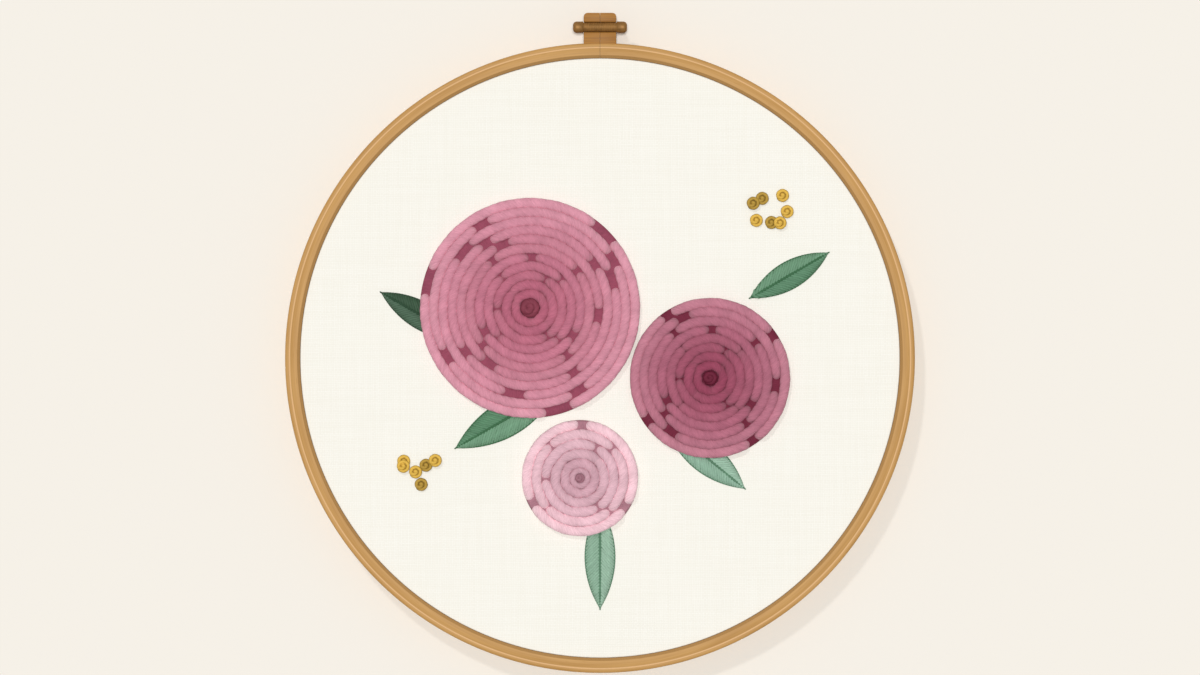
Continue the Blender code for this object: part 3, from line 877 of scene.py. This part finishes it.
MIDDLE_LIFT = 0.3
PAINTED_GROOVE_LIGHT = 1.14
PAINTED_GROOVE_DULL = 0.2
GROUND_LOW = 0.35
GROUND_RIBS = 72
GROUND_RIB_HIGH = 0.16
GROUND_RIM = [0.998, 1.0, 0.9]
GROUND_RIM_HIGH = [0.22, 0.08, 0.02]
yarn = thread_look("wool_yarn", fineness=2.2, painted_ply_shade=0.12, relief=0.08, Specular_IOR_Level=0.08)


def rose_height(share):
    """Height of a round's crest above the cloth, for a radius as a share of the rose's."""
    share = np.asarray(share, float)
    outwards = np.clip((share - CROWN_AT) / (1 - CROWN_AT), 0, 1)
    inwards = np.clip(1 - share / CROWN_AT, 0, 1)
    return CROWN_RISE + (RIM_RISE - CROWN_RISE) * outwards**2 - MIDDLE_DIP * inwards**2


def between(first, second, share):
    """A colour between two codes, as it looks halfway to the eye."""
    a, b = np.array(levels(first)), np.array(levels(second))
    mixed = np.round(a + (b - a) * share).astype(int)
    return tint("%02X%02X%02X" % tuple(mixed))


def painted_side_light(made, top):
    """The same strand with its dye paler and duller down its sides, as painted light in the grooves."""
    # Painted light: paler and duller the further a point lies below the crest.
    deep = np.interp(top - made["points"][:, 2], [0.15, 1.0], [0.0, 1.0])[:, None]
    colour = made["marks"]["dye"]
    grey = colour.mean(axis=1, keepdims=True)
    colour = colour + (grey - colour) * PAINTED_GROOVE_DULL * deep
    made["marks"]["dye"] = np.minimum(colour * (1 + (PAINTED_GROOVE_LIGHT - 1) * deep), 0.95)
    return made


def rose(name, x, y, radius, eye, rows, pitch):
    """Rounds of three and four arcs by turns, a last ring of yarn round the eye, and the ground."""
    dyes = ROSE_DYES[name]
    base = FACE_Z - PULL_DEPTH
    skins = []
    for row in range(1, rows + 1):
        mid = radius - ROW_HALF - pitch * (rows - row)
        arcs = 3 if row % 2 else 4
        colour = between(dyes["inner"], dyes["outer"], (row - 1) / (rows - 1))
        crest = float(rose_height(mid / radius))
        for k in range(arcs):
            first = -ROW_TURN * (row + 1) - k * 360 / arcs
            sweep = (1 - GAP_SHARE) * 360 / arcs
            length = math.radians(sweep) * mid + 2 * END_REACH
            steps = max(6, int((length - 2 * DIVE) / YARN_STEP))
            middle = np.linspace(DIVE, length - DIVE, steps)
            dip = np.radians(np.linspace(90, 12, 7))
            ends = DIVE * (1 - np.sin(dip))
            open_gap = math.radians(GAP_SHARE * 360 / arcs) * mid > 2 * YARN_R
            deepest = min(DIVE_DROP if open_gap else CLOSED_DROP, crest - YARN_R + 0.1)
            drops = deepest * (1 - np.cos(dip))
            s = np.concatenate([ends, middle, length - ends[::-1]])
            drop = np.concatenate([drops, 0 * middle, drops[::-1]])
            angle = np.radians(first) - (s - END_REACH) / mid
            wave = ROW_WAVE * np.sin(5 * angle + row * 1.7) + ROW_RIPPLE * np.sin(11 * angle + row)
            wide = mid + wave * (row < rows)
            rise = crest - YARN_R + ROW_HUMP * np.sin(3 * angle + row * 2.1) - drop
            path = np.stack([x + wide * np.cos(angle), y + wide * np.sin(angle), base + rise], axis=1)
            side = np.stack([np.cos(angle), np.sin(angle), 0 * angle], axis=1)
            fat = YARN_R * (1 + YARN_UNEVEN * np.sin(s * 0.9 + row + k))
            tone = colour * (1 + rng.normal(0, 0.02))
            form = dict(sides=YARN_SIDES, flat=YARN_FLAT, turn=rng.uniform(0, 6), **YARN_FORM)
            from_end = np.minimum(s, length - s)
            packed = np.interp(from_end, [0.5 * DIVE, 1.5 * DIVE], [2, YARN_SQUARED])
            made = strand(path, side, fat, tone, squared=packed, **form)
            skins.append(painted_side_light(made, base + crest))
    space = (radius - 2 * ROW_HALF - pitch * (rows - 1) - eye) / 2
    if space > THINNEST:
        turn = np.linspace(0, 2 * math.pi, 40)
        side = np.stack([np.cos(turn), np.sin(turn), 0 * turn], axis=1)
        fat = space + 0.2
        top = base + float(rose_height(0)) + MIDDLE_LIFT
        path = np.array([x, y, top - fat]) + (eye + space) * side
        tone = 0.95 * tint(dyes["inner"])
        made = strand(path, side, fat, tone, sides=16, squared=3.0, **YARN_FORM)
        skins.append(painted_side_light(made, top))
    skins.append(rose_ground(x, y, radius, base, dyes["ground"]))
    return piece(name + "_woven", skins, yarn, [name])


def rose_ground(x, y, radius, base, ground):
    """The spokes, seen in the gaps as a low dome of radial ribs that ends at the rose's rim."""
    turn = (np.arange(GROUND_RIBS * 4) * 2 * math.pi / (GROUND_RIBS * 4))[:, None]
    shares = np.concatenate([np.linspace(0.02, 0.93, 22), [0.975], GROUND_RIM])
    level = rose_height(shares) - YARN_R - GROUND_LOW
    level[-4:] = [level[-5] - 0.1, *GROUND_RIM_HIGH]
    level[0] = level[1]
    crest = np.abs(np.cos(turn * GROUND_RIBS / 2))
    rib = GROUND_RIB_HIGH * crest * np.clip(shares * 2, 0, 1)
    rib[:, -2:] = 0
    wide = shares * radius + 0 * turn
    own = np.stack([wide, turn * radius + 0 * wide, 0 * wide], axis=-1)
    made = skin(lathe(turn, wide, base + level + rib, x, y), disc=True)
    return marked(made, own, crest, tint(ground))


for name, given in ROSES.items():
    rose(name, **given)


# Knots: French knots in six strand cotton, wound twice round the needle and drawn down, and the
# same knot in dark yarn as the eye of each rose. Seen from above each is a small open coil.
KNOT_SIZE = 1.71
KNOT_THREAD = 0.49
KNOT_START = 180
COIL_TURNS = 1.95
CROSSING = 0.32
MIDDLE_TURN = 0.4
CROSS_AT = 1.08
CROSS_HALF = 0.3
LEAD_IN = 0.14
LEAD_OUT = 0.15
OVER_RISE = 0.5
EYE_DEEP = 1.3
PAINTED_PAD_SHADE = 0.62
GOLD = dict(light="E1B84F", dark="B8963F")
KNOTS = {
    "knot_upper_1": [(39.06, 39.45, "dark", 1), (41.36, 40.70, "dark", 0)],
    "knot_upper_2": [(46.54, 41.44, "light", 0)],
    "knot_upper_3": [(47.71, 37.33, "light", 0)],
    "knot_upper_4": [(45.90, 34.45, "light", 1), (43.71, 34.55, "dark", 0)],
    "knot_upper_5": [(39.86, 35.09, "light", 0)],
    "knot_lower_1": [(-50.03, -26.32, "light", 0), (-50.13, -27.59, "light", 1)],
    "knot_lower_2": [(-47.02, -29.04, "light", 0)],
    "knot_lower_3": [(-44.37, -27.34, "dark", 0), (-42.00, -26.11, "light", 1)],
    "knot_lower_4": [(-45.59, -32.23, "dark", 0)],
}


def smooth(share):
    """Eases from 0 to 1, and stays there beyond."""
    share = np.clip(share, 0, 1)
    return share**2 * (3 - 2 * share)


def coil(x, y, low, size, thread, start, colour, plies=2, rim=0.5):
    """A thread wound once round at the rim, then over its own start and down into the middle. Its
    rise is in its own radii. rim scales its dye low down: below 1 as painted shade, above 1 as painted
    light."""
    t = np.linspace(0, COIL_TURNS, 64)
    inwards = smooth((t - 1) / CROSSING)
    outside = size - thread
    wide = outside + (MIDDLE_TURN * thread - outside) * inwards
    angle = start + 2 * math.pi * t
    rise = 0.9 + 0.35 * inwards + 0.55 * smooth(1 - np.abs(t - CROSS_AT) / CROSS_HALF)
    rise -= 1.5 * np.clip(1 - t / LEAD_IN, 0, 1) ** 2
    rise -= 0.6 * np.clip(1 - (COIL_TURNS - t) / LEAD_OUT, 0, 1) ** 2
    flat = [x + wide * np.cos(angle), y + wide * np.sin(angle)]
    path = np.stack([*flat, low + thread * rise], axis=1)
    radius = thread * np.interp(t, [0, 0.12, COIL_TURNS - 0.2, COIL_TURNS], [0.6, 1, 1, 0.85])
    form = dict(sides=12, plies=plies, lay=5 * thread, groove=0.1)
    made = strand(path, level_side(path), radius, colour, **form)
    # Painted shade, or painted light where rim is above 1: the dye is scaled towards the coil's low
    # parts.
    deep = np.interp(made["points"][:, 2], [low + 1.0 * thread, low + 1.65 * thread], [rim, 1.0])
    made["marks"]["dye"] = made["marks"]["dye"] * deep[:, None]
    return made


def wrapped(x, y, low, size, thread, colour):
    """The turns of thread that lie under the coil, seen between its turns as a low round pad."""
    steps = np.linspace(0.05, 1, 6)
    turn = (np.arange(20) * math.pi / 10)[:, None]
    wide = (size - 1.3 * thread) * np.append(steps, 0.9)
    high = low + thread * np.append(1.05 - 0.35 * steps**2, 0.2)
    grid = lathe(turn, wide, high, x, y)
    return marked(skin(grid, disc=True), grid * [1, 0.2, 1], 1.0, colour)


for name, places in KNOTS.items():
    skins = []
    for x, y, tone, over in places:
        colour = tint(GOLD[tone])
        low = FACE_Z + float(cloth_rise(np.array(x), np.array(y))) + OVER_RISE * over
        start = math.radians(KNOT_START + rng.uniform(-8, 8))
        skins.append(coil(x, y, low, KNOT_SIZE, KNOT_THREAD, start, colour))
        # The pad's dye is darkened as painted shade in the middle of the coil.
        skins.append(wrapped(x, y, low, KNOT_SIZE, KNOT_THREAD, PAINTED_PAD_SHADE * colour))
    piece(name + "_coil", skins, floss, [name])
for name, given in ROSES.items():
    colour = tint(ROSE_DYES[name]["eye"])
    low = FACE_Z - PULL_DEPTH + float(rose_height(0)) - EYE_DEEP
    size = given["eye"]
    # The eye's coil is painted paler low down, as painted light.
    knot = coil(given["x"], given["y"], low, size, 0.4 * size, math.pi, colour, plies=3, rim=1.2)
    piece(name + "_eye_knot", [knot], yarn, [name + "_eye"])


# Back of the work, seen from behind through the hoop: satin stitch crosses from edge to edge there,
# each rose leaves its spokes and a tail of yarn, and one thread runs from knot to knot.
UNDER_FLAT = 0.6
UNDER_PITCH = 0.8
UNDER_SATIN_R = 0.43
UNDER_FROM = 1.5
UNDER_SKEW = 0.5
UNDER_PAST = 0.1
SPOKES = 9
SPOKES_TURN = 20
SPOKE_R = 0.5
SPOKE_END = 0.93
TAIL = 11.0
TAIL_R = 0.8 * YARN_R
GOLD_R = 0.28


def underside(places, radius, code, plies=2):
    """A thread pressed on the cloth's underside through level places, with its ends in the cloth."""
    places = np.array(places, float)
    far = np.concatenate([[0], np.cumsum(np.linalg.norm(np.diff(places, axis=0), axis=1))])
    at = np.linspace(0, far[-1], max(5, int(far[-1] / radius)))
    x, y = (np.interp(at, far, places[:, k]) for k in (0, 1))
    z = FACE_Z + cloth_rise(x, y) - CLOTH_THICK - 0.7 * UNDER_FLAT * radius
    z[[0, -1]] += radius
    path = np.stack([x, y, z], axis=1)
    form = dict(plies=plies, lay=7 * radius, flat=UNDER_FLAT)
    return strand(path, level_side(path), radius, tint(code), **form)


skins = []
for given in LEAVES.values():
    turn = math.radians(given["heading"])
    along, across = np.array([[math.cos(turn), math.sin(turn)], [-math.sin(turn), math.cos(turn)]])
    start = np.array([given["x"], given["y"]])
    half, bulge = given["length"] / 2, given["width"] / 2
    for at in np.arange(UNDER_FROM, given["length"] - UNDER_FROM, UNDER_PITCH):
        off = bulge * (1 - ((at - half) / half) ** 2) + UNDER_PAST
        ends = [start + (at - s * UNDER_SKEW) * along + s * off * across for s in (1, -1)]
        skins.append(underside(ends, UNDER_SATIN_R, given["left" if int(at) % 2 else "right"]))
piece("leaf_stitches_behind", skins, floss, [])
skins = []
for name, given in ROSES.items():
    middle = np.array([given["x"], given["y"]])
    for k in range(SPOKES):
        turn = math.radians(SPOKES_TURN + k * 360 / SPOKES)
        out = given["radius"] * np.array([math.cos(turn), math.sin(turn)])
        ends = [middle + share * out for share in (0.05 + 0.03 * (k % 2), SPOKE_END)]
        skins.append(underside(ends, SPOKE_R, ROSE_DYES[name]["ground"], 3))
    bow = np.radians(np.linspace(200, 260, 9))
    reach = TAIL * np.linspace(0.25, 1, 9)
    tail = middle + np.stack([reach * np.cos(bow), reach * np.sin(bow)], axis=1)
    skins.append(underside(tail, TAIL_R, ROSE_DYES[name]["inner"], 3))
piece("rose_spokes_behind", skins, yarn, [])
skins = []
for group in ("knot_upper", "knot_lower"):
    places = [spot[:2] for name, spots in KNOTS.items() if name.startswith(group) for spot in spots]
    for first, second in zip(places, places[1:]):
        skins.append(underside([first, second], GOLD_R, GOLD["light"]))
    last = np.array(places[-1])
    skins.append(underside([last, last + [-2.5, -3.0], last + [-6.0, -3.5]], GOLD_R, GOLD["light"]))
piece("knot_threads_behind", skins, floss, [])


# Studio: a plain pale table under even light from all round and from above, with one soft lamp from
# the upper left, so that the hoop throws a faint shadow down to the right.
TABLE = "EFEAE1"
TABLE_SIZE = 6.0
TABLE_LOW = 0.05
PHOTO_WIDE = 306.0
LOOK_UP = 5.23
LENS = 200.0
SENSOR = 36.0
SKY = 0.26
SOFTBOX = dict(power=2.15, spread=6, shadow=(0.0, 0.0, -10.0))
LAMP = dict(power=0.46, spread=4, shadow=(3.3, -5.6, -10.0))


def table():
    """A flat top a hair below the hoop, so that the two faces don't meet."""
    mesh = bpy.data.meshes.new("table")
    half = TABLE_SIZE / 2
    sides = ((-1, -1), (1, -1), (1, 1), (-1, 1))
    mesh.from_pydata([(half * x, half * y, -TABLE_LOW * MM) for x, y in sides], [], [(0, 1, 2, 3)])
    constants = dict(Base_Color=dye(TABLE), Roughness=0.9, Specular_IOR_Level=0.0)
    mesh.materials.append(new_material("table_top", **constants)[0])
    linked("table", mesh)


def lamp(name, power, spread, shadow):
    """A far lamp whose light runs along shadow, from a disc that is spread degrees wide."""
    data = bpy.data.lights.new(name, "SUN")
    data.energy = power
    data.angle = math.radians(spread)
    made = linked(name, data)
    made.rotation_mode = "QUATERNION"
    made.rotation_quaternion = Vector(shadow).to_track_quat("-Z", "Y")


def lights():
    """White light from all round, the lamp straight above and the one at the window."""
    world = bpy.data.worlds.new("studio")
    world.use_nodes = True
    back = world.node_tree.nodes["Background"]
    back.inputs["Color"].default_value = (1.0, 1.0, 1.0, 1)
    back.inputs["Strength"].default_value = SKY
    bpy.context.scene.world = world
    lamp("overhead_softbox", **SOFTBOX)
    lamp("window_lamp", **LAMP)


def camera():
    """Straight above, as far as the lens needs to be to take in the photo's width."""
    data = bpy.data.cameras.new("camera")
    data.lens = LENS
    data.sensor_width = SENSOR
    data.clip_end = 20.0
    made = linked("camera", data)
    high = FACE_Z + PHOTO_WIDE * LENS / SENSOR
    made.location = (0, (HOOP_Y + LOOK_UP) * MM, high * MM)
    bpy.context.scene.camera = made


table()
lights()
camera()
bpy.context.scene.view_settings.view_transform = "Standard"
bpy.context.view_layer.update()
